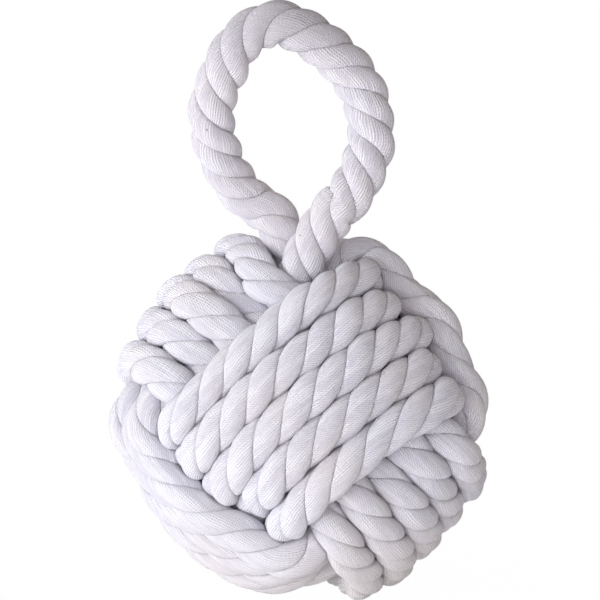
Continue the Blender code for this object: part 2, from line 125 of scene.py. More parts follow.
def halfway(path: Array) -> Array:
    """How far each point lies from the middle of its two neighbours."""
    bend = 0.5 * (path[:-2] + path[2:]) - path[1:-1]
    return np.pad(bend, ((1, 1), (0, 0)))


def tangents(path: Array) -> Array:
    """The direction of a path at each point."""
    step = np.gradient(path, axis=0)
    return step / np.linalg.norm(step, axis=1)[:, None]


def eased(share: Array) -> Array:
    """A share held between none and one, with a soft start and stop."""
    held = np.clip(share, 0.0, 1.0)
    return held * held * (3.0 - 2.0 * held)


def wandering(count: int, spacing: float, reach: float, seed: int) -> Array:
    """A seeded value that wanders gently about zero.

    Args:
        count: how many values.
        spacing: how many values lie between two turns of the wander.
        reach: its usual size.
        seed: picks the wander.

    Returns:
        The values.
    """
    picks = np.random.default_rng(seed).normal(0.0, reach, int(count / spacing) + 5)
    places = np.arange(len(picks)) * spacing
    wander = np.interp(np.arange(count) + spacing, places, picks)
    window = np.hanning(int(spacing) | 1)
    return np.convolve(np.pad(wander, len(window) // 2, mode="edge"), window / window.sum(), mode="valid")


# Colour and materials

def linear(code: str) -> tuple[float, float, float, float]:
    """An sRGB hex colour as the linear colour that a shader takes.

    Args:
        code: the colour, such as #FFFFFF.

    Returns:
        Its red, green and blue, and an alpha of one.
    """
    parts = [int(code[k:k + 2], 16) / 255.0 for k in (1, 3, 5)]
    lin = [p / 12.92 if p <= 0.04045 else ((p + 0.055) / 1.055) ** 2.4 for p in parts]
    return (lin[0], lin[1], lin[2], 1.0)


def add_node(tree: NodeTree, kind: str, inputs: dict[str | int, object] | None = None,
             **settings: object) -> Node:
    """Adds a node with its settings, values and links.

    Args:
        tree: the material's nodes.
        kind: the node's type, less its prefix.
        inputs: a value, an output, or a node for its first output, for each input by name or place.
        settings: properties of the node.

    Returns:
        The node.
    """
    node = tree.nodes.new("ShaderNode" + kind)
    for name, value in settings.items():
        setattr(node, name, value)
    for key, value in (inputs or {}).items():
        if isinstance(value, Node):
            value = value.outputs[0]
        if isinstance(value, NodeSocket):
            tree.links.new(value, node.inputs[key])
        else:
            node.inputs[key].default_value = value
    return node


def new_material(name: str, values: dict[str, object]) -> tuple[Material, NodeTree, Node]:
    """Makes a Principled material.

    Args:
        name: the material's name.
        values: a value for each of the shader's own sockets that is set.

    Returns:
        The material, its nodes and its shader.
    """
    material = bpy.data.materials.new(name)
    material.use_nodes = True
    shader = material.node_tree.nodes["Principled BSDF"]
    for socket, value in values.items():
        shader.inputs[socket].default_value = value
    return material, material.node_tree, shader


def join_surface(shader: Node, colour: NodeSocket, bump: Node) -> None:
    """Gives a shader its colour and its bump.

    Args:
        shader: the material's shader.
        colour: the output that holds its colour.
        bump: the Bump node.
    """
    links = shader.id_data.links
    links.new(colour, shader.inputs["Base Color"])
    links.new(bump.outputs[0], shader.inputs["Normal"])


@dataclass(frozen=True)
class LaidCotton:
    """Soft undyed cotton rope: fine yarns twisted to strands, with a dry, matt and slightly hairy face.

    The yarns run round each strand against the lay of the rope, so they lie
    nearly along the rope on the crowns. The strand's UV map holds the place
    round the strand and the metres along the rope. Lengths are in metres.
    """

    name: str
    strand_radius: float
    yarns: int  # about 1 mm each
    yarn_turn: float  # rope in which a yarn goes once round its strand
    twist: float = 1.3 * MM  # rope between two ridges of a yarn's own twist
    fibre_width: float = 0.45 * MM  # coarser than real fibres, so that they show
    fibre_stretch: float = 22.0  # noise per metre along a yarn, low so that fibres are long
    lint_size: float = 0.9 * MM
    bare_length: float = 2.6 * MM  # of the stretches where loose fibres leave a groove bare
    waver_size: float = 5.0 * MM  # over which a yarn strays from its even line
    waver: float = 0.18  # by how much, in radians round the strand
    groove: float = 0.85  # this and the next four are heights, as shares of the bump's own
    covered_groove: float = 0.18
    fibre_high: float = 0.75
    ply_high: float = 0.32
    lint_high: float = 0.60
    bump: float = 0.52 * MM
    cotton: str = "#F4F4FB"
    hollow: str = "#C3C0CE"  # between yarns
    warm: str = "#ECE5E3"
    warm_patch: float = 45.0 * MM
    seed: str = "#8E7A66"
    seed_apart: float = 9.0 * MM
    seed_size: float = 0.045  # as a share of the distance between two
    seeds_kept: float = 0.12  # share of the places for a speck that have one
    crease_shade: str = "#857C8C"  # painted shade between strands and between turns
    dusty: str = "#E3DACE"
    dusty_to: float = 0.040  # the height up to which the floor has dusted it
    # the colour of the painted shade on the top of the handle
    top_shade: str = "#CECBD2"
    top_shade_from: float | None = None  # the height above which the handle's top is painted greyer, as painted shade
    top_shade_fade: float = 20.0 * MM

    def relief(self, tree: NodeTree, place: NodeSocket, lint: NodeSocket) -> NodeSocket:
        """Yarns side by side, each with its twist and its fibres, under loose lint.

        Args:
            tree: the material's nodes.
            place: the Object coordinates.
            lint: the noise of the loose fibres.

        Returns:
            The height.
        """
        add = partial(add_node, tree)
        uv = add("UVMap", uv_map="strand")
        parts = add("SeparateXYZ", {0: uv})
        round_it, along = parts.outputs[0], parts.outputs[1]
        turn = add("Math", {0: along, 1: 1.0 / self.yarn_turn, 2: round_it}, operation="MULTIPLY_ADD")
        angle = add("Math", {0: turn, 1: math.tau}, operation="MULTIPLY")
        waver = add("TexNoise", {"Vector": place, "Scale": 1.0 / self.waver_size, "Detail": 2.0,
                                 "Roughness": 0.5})
        drift = add("Math", {0: waver, 1: self.waver, 2: angle}, operation="MULTIPLY_ADD")
        phase = add("Math", {0: drift, 1: 0.5 * self.yarns}, operation="MULTIPLY")
        # Fibres: noise drawn out along the yarn, on a round so that it has no seam
        across_x = add("Math", {0: drift}, operation="COSINE")
        across_y = add("Math", {0: drift}, operation="SINE")
        slow = add("Math", {0: along, 1: self.fibre_stretch}, operation="MULTIPLY")
        yarn_place = add("CombineXYZ", {0: across_x, 1: across_y, 2: slow}).outputs[0]
        fibre = add("TexNoise", {"Vector": yarn_place, "Detail": 4.0, "Roughness": 0.7,
                                 "Scale": self.strand_radius / self.fibre_width})
        # A yarn's groove comes and goes along it, where loose fibres lie over it
        cover = add("TexNoise", {"Vector": yarn_place, "Detail": 2.0,
                                 "Scale": self.strand_radius / self.bare_length})
        bare = add("MapRange", {"Value": cover, "From Min": 0.42, "From Max": 0.72,
                                "To Min": self.covered_groove, "To Max": self.groove})
        # Each yarn's own twist: short ridges that lean across it
        lean = add("Math", {0: along, 1: math.pi / self.twist, 2: phase}, operation="MULTIPLY_ADD")
        height = 0.0
        for wave, high in ((phase.outputs[0], bare.outputs[0]), (lean.outputs[0], self.ply_high)):
            swing = add("Math", {0: wave}, operation="SINE")
            ridge = add("Math", {0: swing}, operation="ABSOLUTE")
            height = add("Math", {0: ridge, 1: high, 2: height}, operation="MULTIPLY_ADD").outputs[0]
        for noisy, high in ((fibre.outputs[0], self.fibre_high), (lint, self.lint_high)):
            height = add("Math", {0: noisy, 1: high, 2: height}, operation="MULTIPLY_ADD").outputs[0]
        return height

    def layers(self, tree: NodeTree, place: NodeSocket, lint: NodeSocket) -> list[tuple[NodeSocket, str]]:
        """What lies over the clean cotton, from the first layer to the last.

        Args:
            tree: the material's nodes.
            place: the Object coordinates.
            lint: the noise of the loose fibres.

        Returns:
            Each layer's share and colour.
        """
        add = partial(add_node, tree)
        patch = add("TexNoise", {"Vector": place, "Scale": 1.0 / self.warm_patch, "Detail": 2.0})
        warmer = add("MapRange", {"Value": patch, "From Min": 0.45, "From Max": 0.8, "To Max": 0.5})
        # Specks of seed husk, few and far between
        cells = add("TexVoronoi", {"Vector": place, "Scale": 1.0 / self.seed_apart})
        dot = add("Math", {0: cells.outputs["Distance"], 1: self.seed_size}, operation="LESS_THAN")
        pick = add("SeparateColor", {0: cells.outputs["Color"]})
        kept = add("Math", {0: pick, 1: self.seeds_kept}, operation="LESS_THAN")
        speck = add("Math", {0: dot, 1: kept}, operation="MULTIPLY")
        faint = add("Math", {0: speck, 1: 0.7}, operation="MULTIPLY")
        rise = add("SeparateXYZ", {0: place}).outputs[2]
        dust = add("MapRange", {"Value": rise, "From Min": self.dusty_to, "From Max": 0.0, "To Max": 0.40})
        found = [(warmer, self.warm), (faint, self.seed), (dust, self.dusty)]
        # Painted shade: the rope is painted greyer above a height, for the shade on the handle's top
        if self.top_shade_from is not None:
            top_shade_share = add("MapRange", {"Value": rise, "From Min": self.top_shade_from, "To Max": 0.9,
                                    "From Max": self.top_shade_from + self.top_shade_fade})
            found.append((top_shade_share, self.top_shade))
        # Painted shade in the creases between strands and between turns, with a ragged edge
        sunk = add("Attribute", attribute_name="crease_shade")
        ragged = add("Math", {0: lint, 1: 0.5, 2: sunk.outputs["Fac"]}, operation="MULTIPLY_ADD")
        deep = add("MapRange", {"Value": ragged, "From Min": 0.35, "From Max": 1.25})
        found.append((deep, self.crease_shade))
        return [(share.outputs[0], code) for share, code in found]

    def build(self) -> Material:
        """Makes the finish.

        Returns:
            The material.
        """
        material, tree, shader = new_material(self.name, {
            "Roughness": 0.95, "Diffuse Roughness": 1.0, "Specular IOR Level": 0.15, "Sheen Weight": 0.12,
            "Sheen Roughness": 0.6})
        add = partial(add_node, tree)
        place = add("TexCoord").outputs["Object"]
        lint = add("TexNoise", {"Vector": place, "Scale": 1.0 / self.lint_size, "Detail": 5.0,
                                "Roughness": 0.8}).outputs[0]
        height = self.relief(tree, place, lint)
        bump = add("Bump", {"Strength": 1.0, "Distance": self.bump, "Height": height})
        # Shade in the hollows between yarns, and white on their backs
        low = add("MapRange", {"Value": height, "From Min": 0.60, "From Max": 1.35})
        colour = add("Mix", {"Factor": low, "A": linear(self.hollow), "B": linear(self.cotton)},
                     data_type="RGBA").outputs[2]
        for share, code in self.layers(tree, place, lint):
            colour = add("Mix", {"Factor": share, "A": colour, "B": linear(code)},
                         data_type="RGBA").outputs[2]
        join_surface(shader, colour, bump)
        return material


@dataclass(frozen=True)
class PlainCloth:
    """Woven cotton calico: an even plain weave, matt, with light thread backs and darker gaps."""

    name: str
    thread: float
    light: str = "#D9CFB8"
    dark: str = "#B5A888"

    def build(self) -> Material:
        """Makes the finish.

        Returns:
            The material.
        """
        material, tree, shader = new_material(self.name, {"Roughness": 0.9})
        add = partial(add_node, tree)
        place = add("TexCoord").outputs["Object"]
        waves = {"Vector": place, "Scale": 0.5 * WAVE_BAND / self.thread, "Distortion": 0.6}
        warp, weft = (add("TexWave", waves, bands_direction=way).outputs[1] for way in "XZ")
        weave = add("Math", {0: warp, 1: weft}, operation="MULTIPLY")
        bump = add("Bump", {"Strength": 0.8, "Distance": 0.2 * MM, "Height": weave})
        tone = add("Mix", {"Factor": weave, "A": linear(self.dark), "B": linear(self.light)},
                   data_type="RGBA")
        join_surface(shader, tone.outputs[2], bump)
        return material


@dataclass(frozen=True)
class DrySand:
    """Washed dry sand: matt grains of two browns, which give it a speckled face."""

    name: str
    grain: float = 0.6 * MM
    light: str = "#CDB48C"
    dark: str = "#8E6E48"

    def build(self) -> Material:
        """Makes the finish.

        Returns:
            The material.
        """
        material, tree, shader = new_material(self.name, {"Roughness": 0.95})
        add = partial(add_node, tree)
        place = add("TexCoord").outputs["Object"]
        grains = add("TexVoronoi", {"Vector": place, "Scale": 1.0 / self.grain})
        pick = add("SeparateColor", {0: grains.outputs["Color"]})
        tone = add("Mix", {"Factor": pick, "A": linear(self.dark), "B": linear(self.light)},
                   data_type="RGBA")
        bump = add("Bump", {"Strength": 0.8, "Distance": 0.3 * MM, "Height": grains.outputs["Distance"]})
        join_surface(shader, tone.outputs[2], bump)
        return material


# Meshes

def placed(name: str, data: bpy.types.ID) -> Object:
    """Puts a new object into the scene.

    Args:
        name: the object's name.
        data: its mesh, curve, lamp or camera.

    Returns:
        The object.
    """
    made = bpy.data.objects.new(name, data)
    bpy.context.scene.collection.objects.link(made)
    return made


def solid_box(name: str) -> tuple[Array, Array]:
    """The lowest and the highest corner of one of the part's solids."""
    low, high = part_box(name)
    return np.array(low), np.array(high)


def new_piece(name: str, mesh: Mesh, material: Material, nodes: tuple[str, ...]) -> Object:
    """Puts a finished mesh into the scene as a piece that rides on the doorstop's one body.

    Args:
        name: the piece's name.
        mesh: its mesh, in place.
        material: its finish.
        nodes: the solids that it stands for.

    Returns:
        The piece.
    """
    mesh.name = name
    mesh.materials.clear()
    mesh.materials.append(material)
    piece = placed(name, mesh)
    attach(piece, "root")
    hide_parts(*nodes)
    LOG.info("%s: %d faces", name, len(mesh.polygons))
    return piece


@dataclass(frozen=True)
class StrandSection:
    """A strand's section in a rope of radius one: a third of the round, bulging, with soft corners."""

    bulge: float  # radius of the strand's outer arc beside the rope's radius
    sides: int
    half_angle: float = math.radians(61.0)
    softness: float = 0.05  # share of the outline that a corner is rounded over
    arc_points: int = 400
    fine_step: float = 0.005  # of the outline before its corners are rounded

    def outline(self) -> Array:
        """Draws the section's outline, the strand standing on the X axis.

        Returns:
            Its corners, evenly spaced.
        """
        angle = np.linspace(-self.half_angle, self.half_angle, self.arc_points)
        middle = 1.0 - self.bulge
        reach = middle * np.cos(angle) + np.sqrt(self.bulge ** 2 - (middle * np.sin(angle)) ** 2)
        outer = np.column_stack([reach * np.cos(angle), reach * np.sin(angle), 0.0 * angle])
        loop = resample(np.vstack([[[0.0, 0.0, 0.0]], outer, [[0.0, 0.0, 0.0]]]), self.fine_step)[:-1]
        window = np.hanning(2 * int(self.softness * len(loop)) + 1)
        window = window / window.sum()
        wrap = len(window) // 2
        padded = np.vstack([loop[-wrap:], loop, loop[:wrap]])
        soft = np.column_stack([np.convolve(padded[:, k], window, mode="valid") for k in range(3)])
        soft[:, 0] += 1.0 - soft[:, 0].max()
        closed = np.vstack([soft, soft[:1]])
        return resample(closed, lengths_along(closed)[-1] / self.sides)[:self.sides]


@dataclass(frozen=True)
class TwineSection:
    """A twine's round section, of radius one."""

    sides: int = 10

    def outline(self) -> Array:
        """The outline's corners, evenly spaced."""
        angle = np.arange(self.sides) * math.tau / self.sides
        return np.column_stack([np.cos(angle), np.sin(angle), 0.0 * angle])


def plain_line(name: str, points: Array) -> Object:
    """Draws a curve of straight runs, which is in the scene until its mesh is made.

    Args:
        name: the curve's name.
        points: the points that it goes through.

    Returns:
        The curve's object.
    """
    curve = bpy.data.curves.new(name, "CURVE")
    curve.dimensions = "3D"
    spline = curve.splines.new("POLY")
    spline.points.add(len(points) - 1)
    spline.points.foreach_set("co", np.column_stack([points, np.ones(len(points))]).ravel())
    return placed(name, curve)


def swept_strand(name: str, path: Array, radii: Array, tilt: Array,
                 section: StrandSection | TwineSection) -> Mesh:
    """Sweeps a strand's section along the rope, turning it as the rope is laid.

    Its UV map holds the place round the strand, and the metres along the rope.

    Args:
        name: the mesh's name.
        path: the rope's centre line.
        radii: the rope's radius at each point.
        tilt: how far the section is turned about the rope at each point.
        section: the strand's section.

    Returns:
        The mesh.
    """
    sides = section.sides
    section_line = plain_line(name + "_section", section.outline())
    section_line.data.splines[0].use_cyclic_u = True
    rope_line = plain_line(name + "_line", path)
    curve = rope_line.data
    curve.twist_mode = "MINIMUM"
    curve.bevel_mode = "OBJECT"
    curve.bevel_object = section_line
    curve.use_fill_caps = True
    curve.splines[0].points.foreach_set("radius", radii)
    curve.splines[0].points.foreach_set("tilt", tilt)
    bpy.context.view_layer.update()
    mesh = bpy.data.meshes.new_from_object(rope_line.evaluated_get(bpy.context.evaluated_depsgraph_get()))
    mesh.flip_normals()  # the sweep leaves the faces pointing inward
    for spare in (rope_line, section_line):
        bpy.data.curves.remove(spare.data)

    corners = np.empty(len(mesh.loops), dtype=np.int64)
    mesh.loops.foreach_get("vertex_index", corners)
    starts = np.empty(len(mesh.polygons), dtype=np.int64)
    mesh.polygons.foreach_get("loop_start", starts)
    ring = np.minimum(corners // sides, len(path) - 1)
    side = corners % sides
    highest = np.repeat(np.maximum.reduceat(side, starts), np.diff(np.append(starts, len(corners))))
    side = np.where((side == 0) & (highest == sides - 1), sides, side)
    layer = mesh.uv_layers.new(name="strand")
    layer.data.foreach_set("uv", np.column_stack([side / sides, lengths_along(path)[ring]]).ravel())
    mesh.shade_smooth()
    return mesh


class Lay(Enum):
    """Which way the strands of a rope wind."""

    LEFT = -1
    RIGHT = 1


@dataclass
class LaidRope:
    """A rope of three strands laid up round its centre line."""

    name: str
    slot: str
    nodes: tuple[str, ...]
    path: Array
    radii: Array
    lay_length: float
    section: StrandSection
    lay: Lay = Lay.LEFT
    strands: int = 3
    phase: float = 0.0
    seed: int = 1
    heart: Array | None = None  # the middle of what the rope is wound round
    flattening: tuple[float, float] = (1.0, 1.0)  # its breadth, and its height off the heart
    squareness: float = 2.0  # 2 is round; more fills the corners between turns
    floor: float | None = None  # the height that presses the rope flat
    strand_crease: tuple[float, float] = (0.86, 0.76)  # radii where the crease between strands starts, ends
    strand_shade: float = 0.18  # how deep the crease between strands is beside one between turns
    turn_crease: tuple[float, float] = (1.10, 0.84)  # the same for the crease between turns
    lay_wander: tuple[float, float] = (0.06, 0.36)  # metres between two wanders, and their radians
    plump_wander: tuple[float, float] = (0.03, 0.045)  # the same for a strand's thickness, as a share
    own_stretch: float = 3.2  # radii along the rope within which it is still the same turn
    touching: float = 2.4  # radii between two turns' middles past which they leave no crease
    batch: int = 256  # rings that are compared at once

    def next_turn(self, places: Array) -> Array:
        """Finds how near each vertex lies to another turn.

        Args:
            places: the strand's vertices.

        Returns:
            Each one's distance from the middle of the nearest other turn, in radii of the rope.
        """
        sides = self.section.sides
        step = lengths_along(self.path)[-1] / (len(self.path) - 1)
        radius = float(self.radii.max())
        same_turn = int(self.own_stretch * radius / step)
        others = self.path[::2]
        near = np.full(len(places), np.inf)
        for start in range(0, len(self.path), self.batch):
            rings = np.arange(start, min(start + self.batch, len(self.path)))
            gaps = np.linalg.norm(self.path[rings][:, None] - others[None], axis=2)
            far_along = np.abs(rings[:, None] - 2 * np.arange(len(others))[None]) > same_turn
            one, other = np.nonzero((gaps < self.touching * radius) & far_along)
            if not len(one):
                continue
            corners = (rings[one] * sides)[:, None] + np.arange(sides)
            distance = np.linalg.norm(places[corners] - others[other][:, None], axis=2) / radius
            firsts = np.flatnonzero(np.diff(one, prepend=-1))
            near[corners[firsts]] = np.minimum.reduceat(distance, firsts, axis=0)
        return near

    @staticmethod
    def depth(distance: Array, limits: tuple[float, float]) -> Array:
        """How deep in a crease each vertex lies: none from the first limit on, one from the second down."""
        return np.clip((limits[0] - distance) / (limits[0] - limits[1]), 0.0, 1.0)

    def pressed(self, mesh: Mesh) -> None:
        """Flattens a strand where the rope lies on the ball and on the floor, and marks its creases for
        painted shade.

        Args:
            mesh: the strand.
        """
        places = np.empty(3 * len(mesh.vertices))
        mesh.vertices.foreach_get("co", places)
        places = places.reshape(-1, 3)
        ring = np.minimum(np.arange(len(places)) // self.section.sides, len(self.path) - 1)
        middle = self.path[ring]
        off = np.linalg.norm(places - middle, axis=1) / self.radii[ring]
        # How deep in a crease each vertex lies, which the material paints as shade
        crease_shade = self.strand_shade * self.depth(off, self.strand_crease)
        if self.heart is not None:
            out = middle - self.heart
            out = out / np.linalg.norm(out, axis=1)[:, None]
            arm = places - middle
            rise = (arm * out).sum(1)[:, None] * out
            broad, high = self.flattening
            aside, above = np.linalg.norm(arm - rise, axis=1), np.linalg.norm(rise, axis=1)
            power = self.squareness
            squared = np.maximum(aside ** power + above ** power, 1e-30) ** (1.0 / power)
            fuller = (np.hypot(aside, above) / squared)[:, None]
            places = middle + fuller * (broad * (arm - rise) + high * rise)
            crease_shade = np.maximum(crease_shade, self.depth(self.next_turn(places), self.turn_crease))
        if self.floor is not None:
            places[:, 2] = np.maximum(places[:, 2], self.floor)
        mesh.vertices.foreach_set("co", places.ravel())
        # The crease depth goes to the material, which paints it as shade
        mark = mesh.attributes.new("crease_shade", "FLOAT", "POINT")
        mark.data.foreach_set("value", crease_shade)

    def build(self, finish: Material) -> list[Object]:
        """Makes the strands.

        Args:
            finish: the rope's material.

        Returns:
            One piece for each strand.
        """
        along = lengths_along(self.path)
        count = len(self.path)
        per_metre = count / along[-1]
        turned = self.phase + self.lay.value * math.tau * along / self.lay_length
        apart, reach = self.lay_wander
        turned = turned + wandering(count, apart * per_metre, reach, self.seed)
        apart, reach = self.plump_wander
        pieces = []
        for number in range(self.strands):
            name = "%s_strand_%d" % (self.name, number + 1)
            plump = 1.0 + wandering(count, apart * per_metre, reach, self.seed + 11 * number + 3)
            tilt = turned + math.tau * number / self.strands
            mesh = swept_strand(name, self.path, self.radii * plump, tilt, self.section)
            self.pressed(mesh)
            pieces.append(new_piece(name, mesh, finish, self.nodes))
        return pieces


# The knot and the handle

@dataclass
class HandleRoute:
    """The handle's centre line: two legs straight up out of the ball, parting into a loop."""

    leg_x: float = -0.0008
    leg_end: float = 0.0950  # the height of both ends
    leg_rises: tuple[float, ...] = (0.0, 0.016, 0.030)  # of a leg's lower points above its end
    leg_length: float = 0.0380  # of its straight part
    leg_diameter: float = 0.0125  # the knot squeezes the legs
    leg_gap: float = 0.0008
    leg_swell: float = 0.0030  # the legs start to swell this far above their straight part
    swell_length: float = 0.8  # and do so over this share of the full diameter
    rear_leg_y: float = -0.0030
    diameter: float = 0.0172
    step: float = 0.0075  # between the points that the knot keeps clear of
    loop: tuple[tuple[float, float, float], ...] = (
        (-0.0108, -0.0020, 0.1528), (-0.0200, -0.0010, 0.1597), (-0.0292, -0.0010, 0.1704),
        (-0.0338, -0.0015, 0.1827), (-0.0351, -0.0025, 0.1943), (-0.0331, -0.0035, 0.2067),
        (-0.0284, -0.0045, 0.2183), (-0.0227, -0.0050, 0.2265), (-0.0153, -0.0055, 0.2317),
        (-0.0064, -0.0060, 0.2325), (0.0045, -0.0065, 0.2275), (0.0120, -0.0070, 0.2211),
        (0.0196, -0.0075, 0.2136), (0.0255, -0.0085, 0.2036), (0.0276, -0.0095, 0.1930),
        (0.0274, -0.0105, 0.1833), (0.0231, -0.0128, 0.1708), (0.0172, -0.0145, 0.1621),
        (0.0113, -0.0155, 0.1564))

    def line(self, step: float) -> Array:
        """Draws the centre line.

        Args:
            step: the distance between two of its points.

        Returns:
            The points.
        """
        inside = [self.leg_end + rise for rise in (*self.leg_rises, self.leg_length)]
        front = self.rear_leg_y - self.leg_diameter - self.leg_gap
        points = [(self.leg_x, self.rear_leg_y, z) for z in inside]
        points += list(self.loop)
        points += [(self.leg_x, front, z) for z in reversed(inside)]
        return resample(through_points(np.array(points), per_span=12), step)

    def diameters(self, line: Array) -> Array:
        """Works out how thick the rope is: squeezed in the ball and full above it.

        Args:
            line: points of the centre line.

        Returns:
            The diameter at each.
        """
        above = line[:, 2] - self.leg_end - self.leg_length - self.leg_swell
        rise = np.clip(above / (self.diameter * self.swell_length), 0.0, 1.0)
        return self.leg_diameter + (self.diameter - self.leg_diameter) * rise

    def core(self, centre: Array, axes: Array) -> tuple[Array, Array]:
        """The legs and the seam between them, as points in the knot's axes that its rope keeps clear of.

        Args:
            centre: the ball's centre.
            axes: the knot's axes as columns.

        Returns:
            The points, and the leg's diameter at each.
        """
        line = self.line(self.step)
        widths = self.diameters(line)
        own = (line - centre) @ axes
        swollen = widths > 1.02 * self.leg_diameter  # that is, clearly thicker than a leg
        count = int(np.argmax(swollen)) + 1
        seam = 0.5 * (own[:count] + own[::-1][:count])
        starts = np.vstack([own[:-1], seam[:-1]])
        stops = np.vstack([own[1:], seam[1:]])
        wider = np.maximum(widths[:-1], widths[1:])
        return 0.5 * (starts + stops), np.concatenate([wider, widths[1:count]])


@dataclass
class KnotRoute:
    """The route of the knot rope: three bands of turns, drawn tight round the hollow."""

    turns: int = 5  # side by side in each band
    pitch: float = 0.0148  # room that a turn takes beside its neighbour
    pressed: float = 0.0134  # thickness of the rope where it is pressed on a crossing
    cavity: float = 0.0435  # radius of the hollow
    limit: float = 0.0660  # rope centres beyond this are beaten in
    drawn_out: float = 0.12  # share by which the ball is longer than round, along its long axis
    long_axis: tuple[float, float, float] = (-0.57, 0.20, 0.80)
    settled_height: float = 0.0720  # from the ball's centre down to the floor
    cut_share: float = 0.10  # of the rope's thickness, which the floor flattens
    knot_turn: tuple[float, float, float] = (39.6, -27.4, -86.5)  # degrees about X, Y and Z
    # Laying the rope loosely
    bead: float = 0.0050  # rope between the points that are settled
    loose_run: float = 5.5  # degrees between the first points of a turn
    inner_layer: float = 0.53  # pitches from the hollow to the middle of the inner turns
    weave: float = 2.2  # how sharply a band goes from inside to outside
    least_round: float = 0.2  # share of the radius that the outermost turns keep
    first_start: float = 88.0  # degrees where the first band starts
    first_past: float = 76.0  # by which it ends past the corner, less its turns
    corner: float = 52.0  # where the other two start
    third_past: float = 28.0  # by which the third ends past it, besides its turns
    edge: float = 270.0  # where the first turn of these two lies on the band's edge
    # Drawing it tight: each value named until is a share of the rounds
    rounds: int = 600
    pull: float = 0.20  # how hard the rope is drawn in each round
    slackening: tuple[tuple[float, float], ...] = ((0.6, 1.0), (0.8, 0.4), (0.95, 0.1))  # until, share
    stiffness: float = 0.30
    stiff_until: float = 0.95
    last_stiffness: float = 0.05
    nestling: float = 0.20  # how strongly turns side by side are drawn together
    reach: float = 0.0050  # how far apart they may be for that, in height and past touching
    nestling_until: float = 0.9
    beating: float = 0.12  # share of what lies beyond the limit that is beaten in
    beating_until: float = 0.92
    own_run: float = 1.6  # pitches along the rope within which it is still the same turn
    renewed: int = 10  # rounds between two searches for neighbours
    watched: float = 0.006  # past touching, how far off a neighbour still counts
    crossing: float = 0.6  # likeness of direction up to which two turns cross
    side_by_side: float = 0.92  # and from which on they lie side by side
    likeness_span: float = 0.3  # over which the room between them goes from one to the other
    first_leg: float = 0.2  # share of their thickness with which the legs are let in
    pushes: int = 4  # in each round
    push_share: float = 1.3  # more than one, so that fewer are needed
    axes: Array = field(init=False)
    centre: Array = field(init=False)

    def __post_init__(self) -> None:
        """Works out the knot's axes and the ball's centre."""
        matrix = Matrix.Identity(3)
        for angle, axis in zip(self.knot_turn, "XYZ"):
            matrix = Matrix.Rotation(math.radians(angle), 3, axis) @ matrix
        self.axes = np.array(matrix)
        lowest = self.settled_height - 0.5 * self.pitch
        self.centre = np.array([0.0, 0.0, lowest + (0.5 - self.cut_share) * self.pressed])

    def band(self, start: float, stop: float, first: float, last: float,
             order: tuple[int, int, int]) -> Array:
        """One band's turns round the ball.

        Args:
            start: the angle where it starts, in degrees.
            stop: the angle where it stops.
            first: the first turn's place along the band's width.
            last: the last turn's place.
            order: which of the knot's axes the band's own three are.

        Returns:
            The points.
        """
        inner = self.cavity + self.inner_layer * self.pitch
        outer = inner + self.pitch
        share = np.linspace(0.0, 1.0, int(abs(stop - start) / self.loose_run) + 1)
        angle = np.radians(start + (stop - start) * share)
        across = first + (last - first) * share
        weave = np.tanh(self.weave * np.cos(2.0 * angle)) / math.tanh(self.weave)
        radius = 0.5 * (outer + inner) + 0.5 * (outer - inner) * weave
        flat = np.sqrt(np.maximum(radius ** 2 - across ** 2, (self.least_round * radius) ** 2))
        own = np.column_stack([flat * np.cos(angle), flat * np.sin(angle), across])
        return own[:, order]

    def loose(self) -> Array:
        """Lays the rope as it is first tied: each band inside one and outside the other.

        Returns:
            The rope's points in the knot's axes.
        """
        half = 0.5 * (self.turns - 1) * self.pitch
        slip = self.pitch / 360.0
        full = 360.0 * self.turns
        corner, edge = self.corner, self.edge
        start, stop = self.first_start, corner + self.first_past - full
        first = self.band(start, stop, -half - slip * start, -half - slip * stop, (0, 1, 2))
        stop = corner + full
        second = self.band(corner, stop, -half + slip * (corner - edge), -half + slip * (stop - edge),
                           (2, 0, 1))
        stop = corner + self.third_past + full
        third = self.band(corner, stop, half - slip * (corner - edge), half - slip * (stop - edge),
                          (1, 2, 0))
        loose = np.vstack([first, second, third])
        along = self.axes.T @ unit(np.array(self.long_axis))
        return resample(loose + self.drawn_out * (loose @ along)[:, None] * along, self.bead)

    def rounded_height(self, path: Array) -> Array:
        """Finds how far each point lies from the middle, with the drawing out taken back.

        Args:
            path: points in the knot's axes.

        Returns:
            The distances.
        """
        along = self.axes.T @ unit(np.array(self.long_axis))
        beyond = self.drawn_out / (1.0 + self.drawn_out) * (path @ along)
        return np.linalg.norm(path - beyond[:, None] * along, axis=1)

    @staticmethod
    def shared(count: int, places: tuple[Array, ...], moves: tuple[Array, ...]) -> Array:
        """Works out the mean of the moves that each point is given.

        Args:
            count: how many points there are.
            places: lists of points.
            moves: a move for each point on each list.

        Returns:
            One move for each point.
        """
        total = np.zeros((count, 3))
        number = np.zeros(count)
        for place, move in zip(places, moves):
            for axis in range(3):
                total[:, axis] += np.bincount(place, weights=move[:, axis], minlength=count)
            number += np.bincount(place, minlength=count)
        return total / np.maximum(number, 1.0)[:, None]

